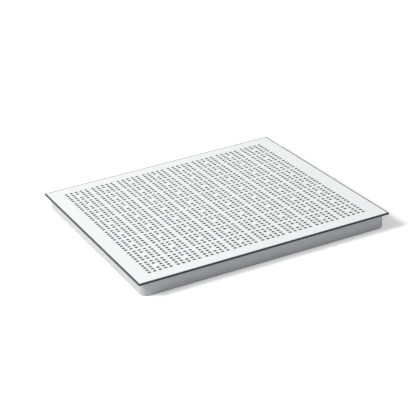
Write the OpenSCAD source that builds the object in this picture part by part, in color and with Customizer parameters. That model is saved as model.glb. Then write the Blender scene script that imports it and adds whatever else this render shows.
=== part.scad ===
// Perforated raised floor tile: a welded steel panel with a drawn pan below, a perforated
// steel sheet above, a perforated covering laid on that, and black strips round the edge.
// Units are millimetres. The origin is at the middle of the face that the tile rests on.

/* [Tile] */
// Side of the finished tile, over the edge strips
tile_side = 600; // [598:0.5:620]
// Height of the steel panel, from the resting face to the top of its sheet
panel_h = 35; // [30:1:50]
// Thickness of the covering on top of the steel
covering_t = 1.5; // [1.2:0.1:3]

/* [Perforation] */
// Cells along each side of the perforated field, one over each cup of the pan
cells = 8; // [4:1:8]
// Distance between the centres of neighbouring cells
cell_pitch = 66.75; // [64:0.25:67]
// Holes along each side of a cell
cell_holes = 5; // [3:2:5]
// Distance between the centres of neighbouring holes in a cell
hole_pitch = 12.5; // [11:0.25:12.75]
// Diameter of the holes through the steel sheet
sheet_hole_d = 7.6; // [5:0.1:8]
// How much wider the covering's holes are than the steel's
hole_margin = 0.4; // [0.2:0.1:1]

/* [Edge strips] */
// Width of a strip seen from above
strip_w = 3.2; // [2:0.1:6]
// Thickness of the lip that hangs over the steel's edge
lip_t = 0.8; // [0.5:0.1:1.5]
// Radius of the strip's outer top edge
strip_edge_r = 0.7; // [0.3:0.1:1]

/* [Steel] */
// Thickness of the perforated sheet
sheet_t = 1.2; // [0.8:0.1:1.5]
// Thickness of the drawn pan
pan_t = 1; // [0.8:0.1:1.2]

/* [Pan wall] */
// Distance from the flange's outer edge in to the top of the wall
wall_inset = 4.2; // [3.5:0.1:8]
// Lean of the wall from upright, in degrees
wall_lean = 4; // [2:0.5:8]
// Outer radius of the wall's corners, in plan at the top
corner_r = 22; // [16:1:26]
// Inside radius of the bend from the wall out to the flange
flange_bend_r = 1.2; // [0.8:0.1:2]
// Inside radius of the bend from the floor up to the wall
floor_bend_r = 3; // [2:0.5:5]

/* [Cups] */
// Radius of the flat top that is spot-welded to the sheet
cup_flat_r = 5.5; // [4:0.5:6]
// Outer radius of the bend from the flat top down to the cup's side
cup_shoulder_r = 4; // [3:0.5:5]
// Lean of the cup's side from upright, in degrees
cup_lean = 19; // [12:1:20]
// Radius of the bend from the cup's side out to the floor, on its upper face
cup_foot_r = 4; // [3:0.5:5]
// Flat ring left round the foot of each cup
cup_land = 0.6; // [0.4:0.1:1]
// Dimple of the spot weld in the middle of each cup's flat: its diameter
weld_d = 5; // [3:0.5:6]
// Depth of that dimple
weld_depth = 0.25; // [0.1:0.05:0.4]

/* [Air holes] */
// Diameter of the air holes in the pan's floor, one between each four cups
air_hole_d = 32; // [20:1:34]

/* [Hidden] */

$fn = 72;
// Overshoot of a cut past the face it opens
EPS = 0.01;
// Straight steps in the section of a bend
BEND_STEPS = 5;

// Heights of the faces where the layers meet
sheet_z = panel_h - sheet_t;
flange_z = sheet_z - pan_t;
tile_h = panel_h + covering_t;

// Half-sides of the layers
tile_half = tile_side / 2;
steel_half = tile_half - lip_t;
covering_half = tile_half - strip_w;

// The wall's corners turn about four upright lines, this far from the middle along X and Y
corner_at = steel_half - wall_inset - corner_r;

// A cup's side is the common tangent of its two bends, so the foot's centre follows from the rest
shoulder_at = [cup_flat_r, sheet_z - cup_shoulder_r];
foot_z = pan_t + cup_foot_r;
foot_r = cup_flat_r
    + (cup_shoulder_r + cup_foot_r + (shoulder_at.y - foot_z) * sin(cup_lean)) / cos(cup_lean);
foot_at = [foot_r, foot_z];
cup_r = foot_r + cup_land;

// The wall's section, from the middle of its corner outwards: the flange's bend is hollow
// below and the floor's bend is hollow above, and the wall is their common tangent
flange_bend_z = flange_z - flange_bend_r;
floor_bend_z = pan_t + floor_bend_r;
wall_slope = (flange_bend_z - floor_bend_z) * tan(wall_lean);
bends_apart = (flange_bend_r + floor_bend_r + pan_t) / cos(wall_lean) + wall_slope;
flange_bend_at = [corner_r + flange_bend_r, flange_bend_z];
floor_bend_at = [flange_bend_at.x - bends_apart, floor_bend_z];

// Places of a row of n things spaced evenly about the middle
function spread(n, pitch) = [for (i = [0 : n - 1]) (i - (n - 1) / 2) * pitch];

// Direction at an angle, as a pair
function heading(a) = [cos(a), sin(a)];

// Points along an arc about a centre, from angle a0 to a1
function arc(at, r, a0, a1) =
    [for (i = [0 : BEND_STEPS]) at + r * heading(a0 + (a1 - a0) * i / BEND_STEPS)];

// Square plate with its lower face at height z
module plate(half, t, z) {
    translate([-half, -half, z])
        cube([2 * half, 2 * half, t]);
}

// Places its children over every cup
module at_each_cell() {
    for (x = spread(cells, cell_pitch), y = spread(cells, cell_pitch))
        translate([x, y])
            children();
}

// The holes of every cell, as circles: a square of holes that leaves the weld spot whole
module perforation(d) {
    at_each_cell()
        for (x = spread(cell_holes, hole_pitch), y = spread(cell_holes, hole_pitch))
            if (x != 0 || y != 0)
                translate([x, y])
                    circle(d = d);
}

// Perforated square sheet with its lower face at height z
module perforated(half, t, z, d) {
    translate([0, 0, z])
        linear_extrude(t)
            difference() {
                square(2 * half, center = true);
                perforation(d);
            }
}

module surface_covering() {
    color("#eef0f0")
        perforated(covering_half, covering_t, panel_h, sheet_hole_d + hole_margin);
}

module top_sheet() {
    color("#b9bec0")
        perforated(steel_half, sheet_t, sheet_z, sheet_hole_d);
}

// Half-section of a cup, from its axis outwards: over the upper face, then back under the lower
module cup_section() {
    side = 180 + cup_lean;
    polygon(concat(
        [[0, sheet_z]],
        arc(shoulder_at, cup_shoulder_r, 90, cup_lean),
        arc(foot_at, cup_foot_r, side, 270),
        [[cup_r, pan_t], [cup_r, 0]],
        arc(foot_at, cup_foot_r + pan_t, 270, side),
        arc(shoulder_at, cup_shoulder_r - pan_t, cup_lean, 90),
        [[0, flange_z]]
    ));
}

// Drawn cup, hollow from below, with the weld's dimple in its flat
module cup() {
    difference() {
        rotate_extrude()
            cup_section();
        translate([0, 0, flange_z - EPS])
            cylinder(h = weld_depth + EPS, d = weld_d);
    }
}

// Section of the pan's floor edge, wall and flange root, from the corner's axis outwards
module wall_section() {
    side = 180 - wall_lean;
    polygon(concat(
        [[0, 0]],
        arc(floor_bend_at, floor_bend_r + pan_t, 270, 180 + side),
        arc(flange_bend_at, flange_bend_r, side, 90),
        arc(flange_bend_at, flange_bend_r + pan_t, 90, side),
        arc(floor_bend_at, floor_bend_r, 180 + side, 270),
        [[0, pan_t]]
    ));
}

// One side's straight wall and the corner at its far end
module wall_side() {
    translate([corner_at, corner_at, 0])
        rotate([90, 0, 0])
            linear_extrude(2 * corner_at)
                wall_section();
    translate([corner_at, corner_at, 0])
        rotate_extrude(angle = 90)
            wall_section();
}

// Plan of the opening inside the flange, where the wall's bend begins
module flange_opening() {
    wide = corner_at + flange_bend_at.x;
    for (size = [[2 * wide, 2 * corner_at], [2 * corner_at, 2 * wide]])
        square(size, center = true);
    for (x = [-corner_at, corner_at], y = [-corner_at, corner_at])
        translate([x, y])
            circle(flange_bend_at.x);
}

module flange() {
    translate([0, 0, flange_z])
        linear_extrude(pan_t)
            difference() {
                square(2 * steel_half, center = true);
                flange_opening();
            }
}

module pan_floor() {
    air_holes_at = spread(cells - 1, cell_pitch);
    difference() {
        plate(corner_at, pan_t, 0);
        translate([0, 0, -EPS])
            at_each_cell()
                cylinder(h = pan_t + 2 * EPS, r = cup_r);
        for (x = air_holes_at, y = air_holes_at)
            translate([x, y, -EPS])
                cylinder(h = pan_t + 2 * EPS, d = air_hole_d);
    }
}

module bottom_pan() {
    color("#c3c8ca") {
        pan_floor();
        for (side = [0 : 3])
            rotate(90 * side)
                wall_side();
        flange();
        at_each_cell()
            cup();
    }
}

// Section of an edge strip: x runs outwards from the tile's middle line, y is height
module strip_section() {
    difference() {
        translate([covering_half, panel_h])
            square([strip_w, covering_t]);
        translate([tile_half - strip_edge_r, tile_h - strip_edge_r])
            square(strip_edge_r + EPS);
    }
    intersection() {
        translate([tile_half - strip_edge_r, tile_h - strip_edge_r])
            circle(strip_edge_r);
        translate([tile_half - strip_edge_r, tile_h - strip_edge_r])
            square(strip_edge_r);
    }
    translate([steel_half, flange_z])
        square([lip_t, sheet_t + pan_t]);
}

// Edge strip of the side that faces +X, mitred at both ends
module edge_strip() {
    color("#26282a")
        intersection() {
            translate([0, tile_half, 0])
                rotate([90, 0, 0])
                    linear_extrude(tile_side)
                        strip_section();
            translate([0, 0, flange_z - EPS])
                linear_extrude(tile_h)
                    polygon([[0, 0], [tile_half + EPS, -tile_half - EPS], [tile_half + EPS, tile_half + EPS]]);
        }
}

module edge_strip_front() {
    rotate(-90)
        edge_strip();
}

module edge_strip_right() {
    edge_strip();
}

module edge_strip_back() {
    rotate(90)
        edge_strip();
}

module edge_strip_left() {
    rotate(180)
        edge_strip();
}

surface_covering();
top_sheet();
bottom_pan();
edge_strip_front();
edge_strip_right();
edge_strip_back();
edge_strip_left();
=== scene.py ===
"""Studio scene of a perforated raised floor tile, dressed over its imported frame.

The laminate covering and the steel sheet under it are rebuilt with Geometry Nodes, because
both repeat one cell of holes over a square field. The pan and the edge strips keep the form
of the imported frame, and every piece gets a procedural finish.
"""
from __future__ import annotations

import logging
import math
from dataclasses import dataclass, field
from enum import Enum
from typing import Any

import bpy
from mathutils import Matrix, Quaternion, Vector


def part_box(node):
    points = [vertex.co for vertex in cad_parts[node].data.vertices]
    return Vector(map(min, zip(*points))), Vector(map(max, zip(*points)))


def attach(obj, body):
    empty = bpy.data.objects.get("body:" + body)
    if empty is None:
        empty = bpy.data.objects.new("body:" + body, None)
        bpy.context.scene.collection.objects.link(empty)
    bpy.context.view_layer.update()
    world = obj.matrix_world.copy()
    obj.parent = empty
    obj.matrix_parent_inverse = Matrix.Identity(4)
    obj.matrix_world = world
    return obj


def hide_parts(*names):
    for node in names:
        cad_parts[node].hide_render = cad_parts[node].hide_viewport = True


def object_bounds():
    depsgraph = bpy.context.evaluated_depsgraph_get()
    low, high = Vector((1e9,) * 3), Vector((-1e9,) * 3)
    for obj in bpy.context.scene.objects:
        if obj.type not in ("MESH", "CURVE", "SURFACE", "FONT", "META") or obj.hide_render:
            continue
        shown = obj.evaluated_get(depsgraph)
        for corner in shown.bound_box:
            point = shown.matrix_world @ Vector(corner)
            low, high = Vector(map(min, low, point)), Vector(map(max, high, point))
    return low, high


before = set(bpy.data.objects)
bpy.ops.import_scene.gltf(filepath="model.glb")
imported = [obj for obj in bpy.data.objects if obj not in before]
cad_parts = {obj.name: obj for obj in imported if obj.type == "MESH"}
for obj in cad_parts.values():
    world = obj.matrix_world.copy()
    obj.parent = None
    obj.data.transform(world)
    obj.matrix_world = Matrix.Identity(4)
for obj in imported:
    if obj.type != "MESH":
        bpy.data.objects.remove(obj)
CAD_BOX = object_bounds()

MM = 0.001
MERGE_DISTANCE = 0.001 * MM
BODY = "root"
SHARP_ANGLE = math.radians(35)
WHITE = (1.0, 1.0, 1.0, 1.0)

logging.basicConfig(level=logging.INFO, format="%(message)s")
LOG = logging.getLogger("floor_tile")

Link = tuple[bpy.types.Node, int | str]


class Node(Enum):
    """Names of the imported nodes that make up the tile."""

    COVERING = "surface_covering"
    SHEET = "top_sheet"
    PAN = "bottom_pan"
    STRIP_FRONT = "edge_strip_front"
    STRIP_RIGHT = "edge_strip_right"
    STRIP_BACK = "edge_strip_back"
    STRIP_LEFT = "edge_strip_left"


class Slot(Enum):
    """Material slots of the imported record."""

    COVERING = "covering"
    SHEET = "sheet_steel"
    PAN = "pan_steel"
    STRIP = "edge_strip"


STRIPS = (Node.STRIP_FRONT, Node.STRIP_RIGHT, Node.STRIP_BACK, Node.STRIP_LEFT)


# Node trees ------------------------------------------------------------------------------


class Tree:
    """Thin helper that adds nodes to a node tree and links them in one call."""

    def __init__(self, tree: bpy.types.NodeTree) -> None:
        """Wraps an existing node tree.

        Args:
            tree: the tree to add nodes to.
        """
        self.tree = tree

    def add(self, kind: str, inputs: dict[int | str, Any] | None = None, **settings: Any) -> bpy.types.Node:
        """Adds a node, sets its properties and fills or links its inputs.

        Args:
            kind: the node's bl_idname.
            inputs: value, or (node, output) to link, for each input socket.
            settings: the node's own properties.

        Returns:
            The new node.
        """
        node = self.tree.nodes.new(kind)
        for name, value in settings.items():
            setattr(node, name, value)
        for key, value in (inputs or {}).items():
            self.feed(node, key, value)
        return node

    def feed(self, node: bpy.types.Node, key: int | str, value: Any) -> None:
        """Sets one input socket, or links an output to it.

        Args:
            node: the node that has the input.
            key: the input's index or name.
            value: a plain value, or (node, output) to link.
        """
        socket = node.inputs[key]
        if isinstance(value, tuple) and value and isinstance(value[0], bpy.types.Node):
            self.tree.links.new(value[0].outputs[value[1]], socket)
        else:
            socket.default_value = value

    def math(self, operation: str, a: Any, b: Any = 0.0, c: Any = 0.0, clamp: bool = False) -> Link:
        """Adds a Math node.

        Args:
            operation: the Math node's operation.
            a: first value or link.
            b: second value or link.
            c: third value or link.
            clamp: whether the result stays between 0 and 1.

        Returns:
            The link to its result.
        """
        node = self.add("ShaderNodeMath", {0: a, 1: b, 2: c}, operation=operation, use_clamp=clamp)
        return (node, 0)

    def mix(self, factor: Any, a: Any, b: Any) -> Link:
        """Adds a colour mix.

        Args:
            factor: how much of b shows, or a link.
            a: first colour or link.
            b: second colour or link.

        Returns:
            The link to the mixed colour.
        """
        node = self.add("ShaderNodeMix", data_type="RGBA")
        self.feed(node, 0, factor)
        self.feed(node, 6, a)
        self.feed(node, 7, b)
        return (node, 2)

    def ramp(self, factor: Link, low: float, high: float) -> Link:
        """Adds a clamped rescale of low..high to 0..1.

        Args:
            factor: the value to rescale.
            low: the value that gives 0.
            high: the value that gives 1.

        Returns:
            The link to the rescaled value.
        """
        node = self.add("ShaderNodeMapRange", {0: factor, 1: low, 2: high, 3: 0.0, 4: 1.0}, clamp=True)
        return (node, 0)


def new_group(
    name: str, kind: str, inputs: dict[str, Any], outputs: dict[str, str]
) -> tuple[Tree, bpy.types.Node, bpy.types.Node]:
    """Makes a node group with named sockets.

    Args:
        name: the group's name.
        kind: ShaderNodeTree or GeometryNodeTree.
        inputs: default value for each input name, where a type name makes an empty socket.
        outputs: socket type for each output name.

    Returns:
        The tree helper, the group's input node and its output node.
    """
    group = bpy.data.node_groups.new(name, kind)
    kinds = {float: "NodeSocketFloat", int: "NodeSocketInt", str: "", tuple: "NodeSocketColor"}
    for label, value in inputs.items():
        socket_type = value if isinstance(value, str) else kinds[type(value)]
        socket = group.interface.new_socket(label, in_out="INPUT", socket_type=socket_type)
        if not isinstance(value, str):
            socket.default_value = value
    for label, socket_type in outputs.items():
        group.interface.new_socket(label, in_out="OUTPUT", socket_type=socket_type)
    tree = Tree(group)
    return tree, tree.add("NodeGroupInput"), tree.add("NodeGroupOutput")


# Shared surface effects ------------------------------------------------------------------


class Effects:
    """Shader node groups that more than one finish uses, each built once."""

    SCUFF_TURNS = (0.35, 1.5, 2.6)
    SCUFF_STRETCH = 60.0
    SCUFF_EDGE = (0.66, 0.72)
    DUST_PATCH = (0.4, 0.75)
    DUST_SLOPE = (0.2, 0.9)

    def __init__(self) -> None:
        """Builds every group."""
        self.grain = self._grain()
        self.scuffs = self._scuffs()
        self.dust = self._dust()

    @staticmethod
    def _coordinates(tree: Tree) -> Link:
        """Returns a link to the piece's own coordinates, in metres."""
        return (tree.add("ShaderNodeTexCoord"), "Object")

    def _grain(self) -> bpy.types.NodeTree:
        """Builds the fine pebbled grain of a coated or moulded face.

        Returns:
            The group, which puts out a height and a broad mottle, both 0..1.
        """
        tree, given, out = new_group(
            "surface_grain",
            "ShaderNodeTree",
            {"Grain Size": 0.001, "Mottle Size": 0.05, "Contrast": 0.5},
            {"Height": "NodeSocketFloat", "Mottle": "NodeSocketFloat"},
        )
        place = self._coordinates(tree)
        fine_scale = tree.math("DIVIDE", 1.0, (given, "Grain Size"))
        broad_scale = tree.math("DIVIDE", 1.0, (given, "Mottle Size"))
        fine = tree.add("ShaderNodeTexNoise", {"Vector": place, "Scale": fine_scale, "Detail": 2.0})
        broad = tree.add(
            "ShaderNodeTexNoise", {"Vector": place, "Scale": broad_scale, "Detail": 5.0, "Roughness": 0.6}
        )
        tree.feed(out, "Height", (fine, "Fac"))
        centred = tree.math("SUBTRACT", (broad, "Fac"), 0.5)
        spread = tree.math("MULTIPLY", centred, (given, "Contrast"))
        tree.feed(out, "Mottle", tree.math("ADD", spread, 0.5, clamp=True))
        return tree.tree

    def _scuffs(self) -> bpy.types.NodeTree:
        """Builds sparse fine scratches that run in several directions.

        Returns:
            The group, which puts out a mask that is 1 in a scratch.
        """
        tree, given, out = new_group(
            "fine_scuffs",
            "ShaderNodeTree",
            {"Length": 0.12, "Amount": 0.3},
            {"Mask": "NodeSocketFloat"},
        )
        place = self._coordinates(tree)
        scale = tree.math("DIVIDE", 1.0, (given, "Length"))
        masks: list[Link] = []
        for turn in self.SCUFF_TURNS:
            turned = tree.add("ShaderNodeMapping", {"Vector": place, "Rotation": (0.0, 0.0, turn)})
            stretched = tree.add(
                "ShaderNodeMapping", {"Vector": (turned, 0), "Scale": (1.0, self.SCUFF_STRETCH, 1.0)}
            )
            streak = tree.add(
                "ShaderNodeTexNoise",
                {"Vector": (stretched, 0), "Scale": scale, "Detail": 3.0, "Roughness": 0.7},
            )
            masks.append(tree.ramp((streak, "Fac"), *self.SCUFF_EDGE))
        both = tree.math("MAXIMUM", masks[0], masks[1])
        every = tree.math("MAXIMUM", both, masks[2])
        tree.feed(out, "Mask", tree.math("MULTIPLY", every, (given, "Amount"), clamp=True))
        return tree.tree

    def _dust(self) -> bpy.types.NodeTree:
        """Builds a thin uneven film of dust on faces that look up.

        Returns:
            The group, which puts out a mask that is 1 where dust is thickest.
        """
        tree, given, out = new_group(
            "settled_dust",
            "ShaderNodeTree",
            {"Patch Size": 0.08, "Amount": 0.2},
            {"Mask": "NodeSocketFloat"},
        )
        place = self._coordinates(tree)
        scale = tree.math("DIVIDE", 1.0, (given, "Patch Size"))
        patches = tree.add(
            "ShaderNodeTexNoise", {"Vector": place, "Scale": scale, "Detail": 6.0, "Roughness": 0.65}
        )
        soft = tree.ramp((patches, "Fac"), *self.DUST_PATCH)
        normal = tree.add("ShaderNodeSeparateXYZ", {0: (tree.add("ShaderNodeNewGeometry"), "Normal")})
        upward = tree.ramp((normal, "Z"), *self.DUST_SLOPE)
        lying = tree.math("MULTIPLY", soft, upward)
        tree.feed(out, "Mask", tree.math("MULTIPLY", lying, (given, "Amount"), clamp=True))
        return tree.tree


@dataclass(frozen=True)
class Finish:
    """A surface finish, dressed from shared effects; the sizes are in metres."""

    name: str
    color: tuple[float, float, float]
    mottle_color: tuple[float, float, float]
    roughness: float
    metallic: float = 0.0
    specular: float = 0.5
    grain_size: float = 0.0012
    grain_depth: float = 0.00002
    mottle_size: float = 0.06
    mottle_contrast: float = 1.0
    scuff_length: float = 0.1
    scuff_amount: float = 0.2
    scuff_color: tuple[float, float, float] = (0.6, 0.6, 0.6)
    dust_amount: float = 0.1
    dust_color: tuple[float, float, float] = (0.62, 0.6, 0.56)
    scuff_roughness: float = 0.25
    mottle_roughness: float = 0.12
    dust_roughness: float = 0.4

    def material(self, effects: Effects) -> bpy.types.Material:
        """Builds the material.

        Args:
            effects: the shared shader groups.

        Returns:
            The finished material.
        """
        material = bpy.data.materials.new(self.name)
        material.use_nodes = True
        tree = Tree(material.node_tree)
        tree.tree.nodes.clear()
        grain = tree.add(
            "ShaderNodeGroup",
            {
                "Grain Size": self.grain_size,
                "Mottle Size": self.mottle_size,
                "Contrast": self.mottle_contrast,
            },
            node_tree=effects.grain,
        )
        scuffs = tree.add(
            "ShaderNodeGroup",
            {"Length": self.scuff_length, "Amount": self.scuff_amount},
            node_tree=effects.scuffs,
        )
        dust = tree.add("ShaderNodeGroup", {"Amount": self.dust_amount}, node_tree=effects.dust)
        color = tree.mix((grain, "Mottle"), (*self.color, 1.0), (*self.mottle_color, 1.0))
        color = self.decorate(tree, color)
        color = tree.mix((scuffs, "Mask"), color, (*self.scuff_color, 1.0))
        color = tree.mix((dust, "Mask"), color, (*self.dust_color, 1.0))
        worn = tree.math("MULTIPLY_ADD", (scuffs, "Mask"), self.scuff_roughness, self.roughness)
        uneven = tree.math("MULTIPLY_ADD", (grain, "Mottle"), self.mottle_roughness, worn)
        rough = tree.math("MULTIPLY_ADD", (dust, "Mask"), self.dust_roughness, uneven, clamp=True)
        bump = tree.add(
            "ShaderNodeBump", {"Height": (grain, "Height"), "Distance": self.grain_depth, "Strength": 1.0}
        )
        shader = tree.add(
            "ShaderNodeBsdfPrincipled",
            {
                "Base Color": color,
                "Roughness": rough,
                "Metallic": self.metallic,
                "Specular IOR Level": self.specular,
                "Normal": (bump, 0),
            },
        )
        tree.add("ShaderNodeOutputMaterial", {"Surface": (shader, 0)})
        return material

    def decorate(self, tree: Tree, color: Link) -> Link:
        """Adds what only this finish has; a plain finish adds nothing.

        Args:
            tree: the material's tree.
            color: the colour so far.

        Returns:
            The colour with the finish's own detail.
        """
        return color


@dataclass(frozen=True)
class Laminate(Finish):
    """A pale decor face on a darker core that shows in the walls of the holes."""

    core_color: tuple[float, float, float] = (0.34, 0.345, 0.345)
    fleck_color: tuple[float, float, float] = (0.62, 0.66, 0.67)
    fleck_size: float = 3.5 * MM
    fleck_edge: tuple[float, float] = (0.12, 0.3)
    fleck_choice: tuple[float, float] = (0.72, 0.8)
    fleck_strength: float = 0.35
    decor_bottom: float = 0.0
    decor_blend: float = 0.08 * MM

    def decorate(self, tree: Tree, color: Link) -> Link:
        """Adds the decor's flecks and the core below it.

        Args:
            tree: the material's tree.
            color: the colour so far.

        Returns:
            The colour of the decor and the core.
        """
        place = tree.add("ShaderNodeTexCoord")
        flecks = tree.add(
            "ShaderNodeTexVoronoi",
            {"Vector": (place, "Object"), "Scale": 1.0 / self.fleck_size, "Randomness": 1.0},
        )
        near = tree.math("SUBTRACT", 1.0, tree.ramp((flecks, "Distance"), *self.fleck_edge))
        chosen = tree.add("ShaderNodeSeparateColor", {0: (flecks, "Color")})
        some = tree.ramp((chosen, 0), *self.fleck_choice)
        shown = tree.math("MULTIPLY", near, some)
        faint = tree.math("MULTIPLY", shown, self.fleck_strength)
        decor = tree.mix(faint, color, (*self.fleck_color, 1.0))
        height = tree.add("ShaderNodeSeparateXYZ", {0: (place, "Object")})
        above = tree.ramp((height, "Z"), self.decor_bottom, self.decor_bottom + self.decor_blend)
        return tree.mix(above, (*self.core_color, 1.0), decor)


# Perforated layers -----------------------------------------------------------------------


@dataclass(frozen=True)
class HolePattern:
    """One cell of holes round a whole weld spot, repeated over a square field."""

    cells: int = 8
    cell_pitch: float = 66.75 * MM
    holes: int = 5
    hole_pitch: float = 12.5 * MM
    segments: int = 20


class PerforationTree:
    """Geometry Nodes tree that fills a square sheet round its holes and gives it thickness."""

    def __init__(self) -> None:
        """Builds the tree; every size below is a default that each sheet replaces."""
        usual = HolePattern()
        inputs: dict[str, Any] = {
            "Side": 600.0 * MM,
            "Thickness": 1.0 * MM,
            "Bottom": 0.0,
            "Cells": usual.cells,
            "Cell Pitch": usual.cell_pitch,
            "Holes": usual.holes,
            "Hole Pitch": usual.hole_pitch,
            "Hole Diameter": 8.0 * MM,
            "Segments": usual.segments,
            "Material": "NodeSocketMaterial",
        }
        tree, given, out = new_group(
            "perforated_sheet", "GeometryNodeTree", inputs, {"Mesh": "NodeSocketGeometry"}
        )
        self.group = tree.tree
        self.group.is_modifier = True
        field_ = self._field(tree, given)
        border = self._border(tree, given)
        parts = tree.add("GeometryNodeJoinGeometry", {0: (field_, 0)})
        tree.feed(parts, 0, (border, 0))
        flat = tree.add("GeometryNodeMergeByDistance", {"Geometry": (parts, 0), "Distance": MERGE_DISTANCE})
        solid = self._thicken(tree, given, flat)
        bottom = tree.add("ShaderNodeCombineXYZ", {"Z": (given, "Bottom")})
        placed = tree.add("GeometryNodeSetPosition", {"Geometry": (solid, 0), "Offset": (bottom, 0)})
        real = tree.add("GeometryNodeRealizeInstances", {0: (placed, 0)})
        dressed = tree.add(
            "GeometryNodeSetMaterial", {"Geometry": (real, 0), "Material": (given, "Material")}
        )
        tree.feed(out, "Mesh", (dressed, 0))

    @staticmethod
    def _grid(tree: Tree, given: bpy.types.Node, count: str, pitch: str) -> bpy.types.Node:
        """Adds a square grid of points about the middle.

        Args:
            tree: the tree to add to.
            given: the group's input node.
            count: name of the input with the points along a side.
            pitch: name of the input with their distance.

        Returns:
            The grid's node.
        """
        gaps = tree.math("SUBTRACT", (given, count), 1.0)
        size = tree.math("MULTIPLY", gaps, (given, pitch))
        return tree.add(
            "GeometryNodeMeshGrid",
            {"Size X": size, "Size Y": size, "Vertices X": (given, count), "Vertices Y": (given, count)},
        )

    def _field(self, tree: Tree, given: bpy.types.Node) -> bpy.types.Node:
        """Adds one flat cell filled round its holes, and repeats it over the field.

        Args:
            tree: the tree to add to.
            given: the group's input node.

        Returns:
            The node with the flat field as a real mesh.
        """
        places = self._grid(tree, given, "Holes", "Hole Pitch")
        position = tree.add("GeometryNodeInputPosition")
        away = tree.add("ShaderNodeVectorMath", {0: (position, 0)}, operation="LENGTH")
        middle = tree.math("LESS_THAN", (away, "Value"), tree.math("MULTIPLY", (given, "Hole Pitch"), 0.5))
        ring = tree.add("GeometryNodeDeleteGeometry", {"Geometry": (places, 0), "Selection": middle})
        radius = tree.math("MULTIPLY", (given, "Hole Diameter"), 0.5)
        circle = tree.add(
            "GeometryNodeCurvePrimitiveCircle",
            {"Resolution": (given, "Segments"), "Radius": radius},
            mode="RADIUS",
        )
        holes = tree.add("GeometryNodeInstanceOnPoints", {"Points": (ring, 0), "Instance": (circle, 0)})
        edge = tree.add(
            "GeometryNodeCurvePrimitiveQuadrilateral",
            {"Width": (given, "Cell Pitch"), "Height": (given, "Cell Pitch")},
            mode="RECTANGLE",
        )
        loops = tree.add("GeometryNodeJoinGeometry", {0: (edge, 0)})
        tree.feed(loops, 0, (tree.add("GeometryNodeRealizeInstances", {0: (holes, 0)}), 0))
        cell = tree.add("GeometryNodeFillCurve", {"Curve": (loops, 0)}, mode="TRIANGLES")
        cells = self._grid(tree, given, "Cells", "Cell Pitch")
        repeated = tree.add("GeometryNodeInstanceOnPoints", {"Points": (cells, 0), "Instance": (cell, 0)})
        return tree.add("GeometryNodeRealizeInstances", {0: (repeated, 0)})

    @staticmethod
    def _border(tree: Tree, given: bpy.types.Node) -> bpy.types.Node:
        """Adds the flat border round the field, with a point at each cell's corner.

        Args:
            tree: the tree to add to.
            given: the group's input node.

        Returns:
            The node with the border's flat mesh.
        """
        span = tree.math("MULTIPLY", (given, "Cells"), (given, "Cell Pitch"))
        inner = tree.add(
            "GeometryNodeCurvePrimitiveQuadrilateral", {"Width": span, "Height": span}, mode="RECTANGLE"
        )
        corners = tree.math("MULTIPLY", (given, "Cells"), 4.0)
        stepped = tree.add("GeometryNodeResampleCurve", {"Curve": (inner, 0), "Count": corners}, mode="COUNT")
        outer = tree.add(
            "GeometryNodeCurvePrimitiveQuadrilateral",
            {"Width": (given, "Side"), "Height": (given, "Side")},
            mode="RECTANGLE",
        )
        loops = tree.add("GeometryNodeJoinGeometry", {0: (outer, 0)})
        tree.feed(loops, 0, (stepped, 0))
        return tree.add("GeometryNodeFillCurve", {"Curve": (loops, 0)}, mode="TRIANGLES")

    @staticmethod
    def _thicken(tree: Tree, given: bpy.types.Node, flat: bpy.types.Node) -> bpy.types.Node:
        """Adds the upper face and all the walls to a flat sheet.

        Args:
            tree: the tree to add to.
            given: the group's input node.
            flat: the node with the sheet's flat mesh.

        Returns:
            The node with the closed solid.
        """
        rise = tree.add("ShaderNodeCombineXYZ", {"Z": (given, "Thickness")})
        raised = tree.add(
            "GeometryNodeExtrudeMesh",
            {"Mesh": (flat, 0), "Offset": (rise, 0), "Offset Scale": 1.0, "Individual": False},
            mode="FACES",
        )
        under = tree.add("GeometryNodeFlipFaces", {0: (flat, 0)})
        both = tree.add("GeometryNodeJoinGeometry", {0: (raised, 0)})
        tree.feed(both, 0, (under, 0))
        return tree.add(
            "GeometryNodeMergeByDistance", {"Geometry": (both, 0), "Distance": MERGE_DISTANCE}
        )


@dataclass
class PerforatedLayer:
    """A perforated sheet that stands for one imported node; it takes its sizes from that node."""

    node: Node
    slot: Slot
    hole_diameter: float
    material: bpy.types.Material
    pattern: HolePattern = field(default_factory=HolePattern)

    def build(self, tree: PerforationTree) -> bpy.types.Object:
        """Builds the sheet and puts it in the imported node's place.

        Args:
            tree: the shared Geometry Nodes tree.

        Returns:
            The finished piece.
        """
        low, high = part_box(self.node.value)
        sizes: dict[str, Any] = {
            "Side": high[0] - low[0],
            "Thickness": high[2] - low[2],
            "Bottom": low[2],
            "Cells": self.pattern.cells,
            "Cell Pitch": self.pattern.cell_pitch,
            "Holes": self.pattern.holes,
            "Hole Pitch": self.pattern.hole_pitch,
            "Hole Diameter": self.hole_diameter,
            "Segments": self.pattern.segments,
            "Material": self.material,
        }
        piece = run_tree(f"{self.node.value}_dressed", tree.group, sizes)
        shade(piece)
        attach(piece, BODY)
        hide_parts(self.node.value)
        return piece


def run_tree(name: str, group: bpy.types.NodeTree, values: dict[str, Any]) -> bpy.types.Object:
    """Runs a Geometry Nodes tree once and keeps its result as a plain mesh.

    Args:
        name: the new piece's name.
        group: the tree.
        values: value of each named input.

    Returns:
        An object with the plain mesh and no modifier.
    """
    carrier = bpy.data.objects.new(name, bpy.data.meshes.new(name))
    bpy.context.scene.collection.objects.link(carrier)
    modifier = carrier.modifiers.new("build", "NODES")
    modifier.node_group = group
    for item in group.interface.items_tree:
        if item.item_type == "SOCKET" and item.in_out == "INPUT" and item.name in values:
            modifier[item.identifier] = values[item.name]
    evaluated = carrier.evaluated_get(bpy.context.evaluated_depsgraph_get())
    mesh = bpy.data.meshes.new_from_object(evaluated)
    carrier.modifiers.remove(modifier)
    carrier.data = mesh
    return carrier


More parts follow.
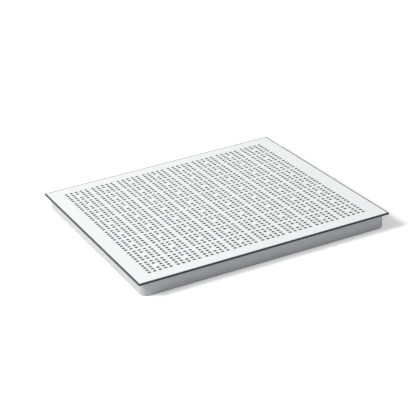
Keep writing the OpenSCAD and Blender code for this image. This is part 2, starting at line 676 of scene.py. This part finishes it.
def shade(piece: bpy.types.Object) -> None:
    """Shades a piece smooth, with the edges between its faces kept sharp.

    Args:
        piece: the mesh object.
    """
    piece.data.shade_smooth()
    piece.data.set_sharp_from_angle(angle=SHARP_ANGLE)


# Pressed and moulded parts ---------------------------------------------------------------


@dataclass
class DrawnPan:
    """The drawn steel pan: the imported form, with its bends shaded round."""

    material: bpy.types.Material

    def build(self) -> bpy.types.Object:
        """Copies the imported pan, joins its loose triangles and dresses it.

        Returns:
            The finished piece.
        """
        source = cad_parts[Node.PAN.value]
        mesh = source.data.copy()
        piece = bpy.data.objects.new(f"{Node.PAN.value}_dressed", mesh)
        bpy.context.scene.collection.objects.link(piece)
        weld = piece.modifiers.new("weld", "WELD")
        weld.merge_threshold = MERGE_DISTANCE
        evaluated = piece.evaluated_get(bpy.context.evaluated_depsgraph_get())
        joined = bpy.data.meshes.new_from_object(evaluated)
        piece.modifiers.remove(weld)
        piece.data = joined
        joined.materials.clear()
        joined.materials.append(self.material)
        shade(piece)
        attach(piece, BODY)
        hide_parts(Node.PAN.value)
        return piece


@dataclass
class EdgeStrips:
    """The four mitred strips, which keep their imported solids."""

    material: bpy.types.Material

    def dress(self) -> list[bpy.types.Object]:
        """Gives every strip its finish.

        Returns:
            The four strips.
        """
        strips = [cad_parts[node.value] for node in STRIPS]
        for strip in strips:
            strip.data.materials.clear()
            strip.data.materials.append(self.material)
        return strips


# Studio ----------------------------------------------------------------------------------


@dataclass(frozen=True)
class Lamp:
    """A square area lamp aimed at the tile."""

    name: str
    place: tuple[float, float, float]
    side: float
    power: float

    def build(self, target: Vector) -> bpy.types.Object:
        """Makes the lamp.

        Args:
            target: the point that it shines at.

        Returns:
            The lamp's object.
        """
        data = bpy.data.lights.new(self.name, "AREA")
        data.size = self.side
        data.energy = self.power
        lamp = bpy.data.objects.new(self.name, data)
        lamp.location = self.place
        lamp.rotation_euler = (target - lamp.location).to_track_quat("-Z", "Y").to_euler()
        bpy.context.scene.collection.objects.link(lamp)
        return lamp


@dataclass
class Studio:
    """Pale floor, white surround, soft lamps and the camera.

    The key lamp stands to the left, so the left wall is bright and the front wall is in shade.
    """

    camera_from_top: tuple[float, float, float] = (-1.196, -2.883, 1.320)
    camera_roll: float = math.radians(-6.0)
    lens: float = 126.0
    sensor: float = 36.0
    floor_side: float = 30.0
    floor_color: tuple[float, float, float, float] = (0.9, 0.9, 0.9, 1.0)
    floor_lift: float = 0.3
    sky_strength: float = 0.35
    lamps: tuple[Lamp, ...] = (
        Lamp("key_left", (-6.0, 1.4, 5.2), 3.2, 690.0),
        Lamp("fill_front", (1.2, -3.2, 3.4), 2.0, 8.0),
    )

    def build(self) -> None:
        """Makes the world, the floor, the lamps and the camera."""
        low, high = CAD_BOX
        middle = (Vector(low) + Vector(high)) / 2
        self._world()
        self._floor(low[2])
        for lamp in self.lamps:
            lamp.build(middle)
        self._camera(middle, high[2])
        bpy.context.scene.view_settings.view_transform = "Standard"

    def _world(self) -> None:
        """Makes an even, dim sky that the camera and mirrors see as white."""
        world = bpy.data.worlds.new("studio")
        world.use_nodes = True
        bpy.context.scene.world = world
        tree = Tree(world.node_tree)
        tree.tree.nodes.clear()
        path = tree.add("ShaderNodeLightPath")
        seen = tree.math("MAXIMUM", (path, "Is Camera Ray"), (path, "Is Glossy Ray"))
        strength = tree.math("MULTIPLY_ADD", seen, 1.0 - self.sky_strength, self.sky_strength)
        sky = tree.add("ShaderNodeBackground", {"Color": WHITE, "Strength": strength})
        tree.add("ShaderNodeOutputWorld", {"Surface": (sky, 0)})

    def _floor(self, height: float) -> None:
        """Makes the pale floor that takes the tile's shadow.

        Args:
            height: the height that the tile rests at.
        """
        half = self.floor_side / 2
        corners = [(x * half, y * half, height) for x, y in ((-1, -1), (1, -1), (1, 1), (-1, 1))]
        mesh = bpy.data.meshes.new("floor")
        mesh.from_pydata(corners, [], [(0, 1, 2, 3)])
        material = bpy.data.materials.new("pale_floor")
        material.use_nodes = True
        tree = Tree(material.node_tree)
        tree.tree.nodes.clear()
        matt = tree.add("ShaderNodeBsdfDiffuse", {"Color": self.floor_color})
        path = tree.add("ShaderNodeLightPath")
        lift = tree.math("MULTIPLY", (path, "Is Camera Ray"), self.floor_lift)
        glow = tree.add("ShaderNodeEmission", {"Color": WHITE, "Strength": lift})
        both = tree.add("ShaderNodeAddShader", {0: (matt, 0), 1: (glow, 0)})
        tree.add("ShaderNodeOutputMaterial", {"Surface": (both, 0)})
        mesh.materials.append(material)
        floor = bpy.data.objects.new("floor", mesh)
        bpy.context.scene.collection.objects.link(floor)

    def _camera(self, middle: Vector, top: float) -> None:
        """Makes the camera, aimed at the middle of the tile.

        Args:
            middle: the middle of the tile's box.
            top: the height of the tile's top face.
        """
        data = bpy.data.cameras.new("camera")
        data.lens = self.lens
        data.sensor_width = self.sensor
        camera = bpy.data.objects.new("camera", data)
        camera.location = Vector(self.camera_from_top) + Vector((middle.x, middle.y, top))
        aim = (middle - camera.location).to_track_quat("-Z", "Y")
        camera.rotation_euler = (aim @ Quaternion((0.0, 0.0, 1.0), self.camera_roll)).to_euler()
        bpy.context.scene.collection.objects.link(camera)
        bpy.context.scene.camera = camera


# The tile --------------------------------------------------------------------------------


@dataclass
class FloorTile:
    """The whole tile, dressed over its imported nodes."""

    effects: Effects = field(default_factory=Effects)
    covering_hole: float = 8.0 * MM
    sheet_hole: float = 7.6 * MM
    decor_depth: float = 0.25 * MM

    def build(self) -> None:
        """Builds and dresses every part, and reports each piece."""
        covering_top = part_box(Node.COVERING.value)[1][2]
        laminate = Laminate(
            name="white_laminate",
            color=(0.86, 0.875, 0.875),
            mottle_color=(0.82, 0.84, 0.845),
            roughness=0.36,
            grain_size=0.0009,
            grain_depth=0.000012,
            scuff_amount=0.08,
            scuff_color=(0.7, 0.71, 0.71),
            dust_amount=0.06,
            decor_bottom=covering_top - self.decor_depth,
        ).material(self.effects)
        sheet_steel = Finish(
            name="zinc_sheet",
            color=(0.42, 0.44, 0.45),
            mottle_color=(0.52, 0.54, 0.55),
            roughness=0.38,
            metallic=0.7,
            mottle_size=0.012,
            scuff_amount=0.15,
        ).material(self.effects)
        pan_steel = Finish(
            name="grey_powder_coat",
            color=(0.44, 0.46, 0.465),
            mottle_color=(0.5, 0.52, 0.525),
            roughness=0.42,
            grain_size=0.0016,
            grain_depth=0.00005,
            scuff_amount=0.12,
        ).material(self.effects)
        black_strip = Finish(
            name="black_strip",
            color=(0.012, 0.012, 0.013),
            mottle_color=(0.02, 0.02, 0.021),
            roughness=0.4,
            grain_size=0.0006,
            grain_depth=0.00001,
            scuff_amount=0.2,
            scuff_color=(0.08, 0.08, 0.08),
            dust_amount=0.04,
        ).material(self.effects)
        tree = PerforationTree()
        pieces = [
            PerforatedLayer(Node.COVERING, Slot.COVERING, self.covering_hole, laminate).build(tree),
            PerforatedLayer(Node.SHEET, Slot.SHEET, self.sheet_hole, sheet_steel).build(tree),
            DrawnPan(pan_steel).build(),
            *EdgeStrips(black_strip).dress(),
        ]
        for piece in pieces:
            LOG.info("%s: %d faces", piece.name, len(piece.data.polygons))


def main() -> None:
    """Builds the tile and the studio round it."""
    FloorTile().build()
    Studio().build()


if __name__ == "__main__":
    main()
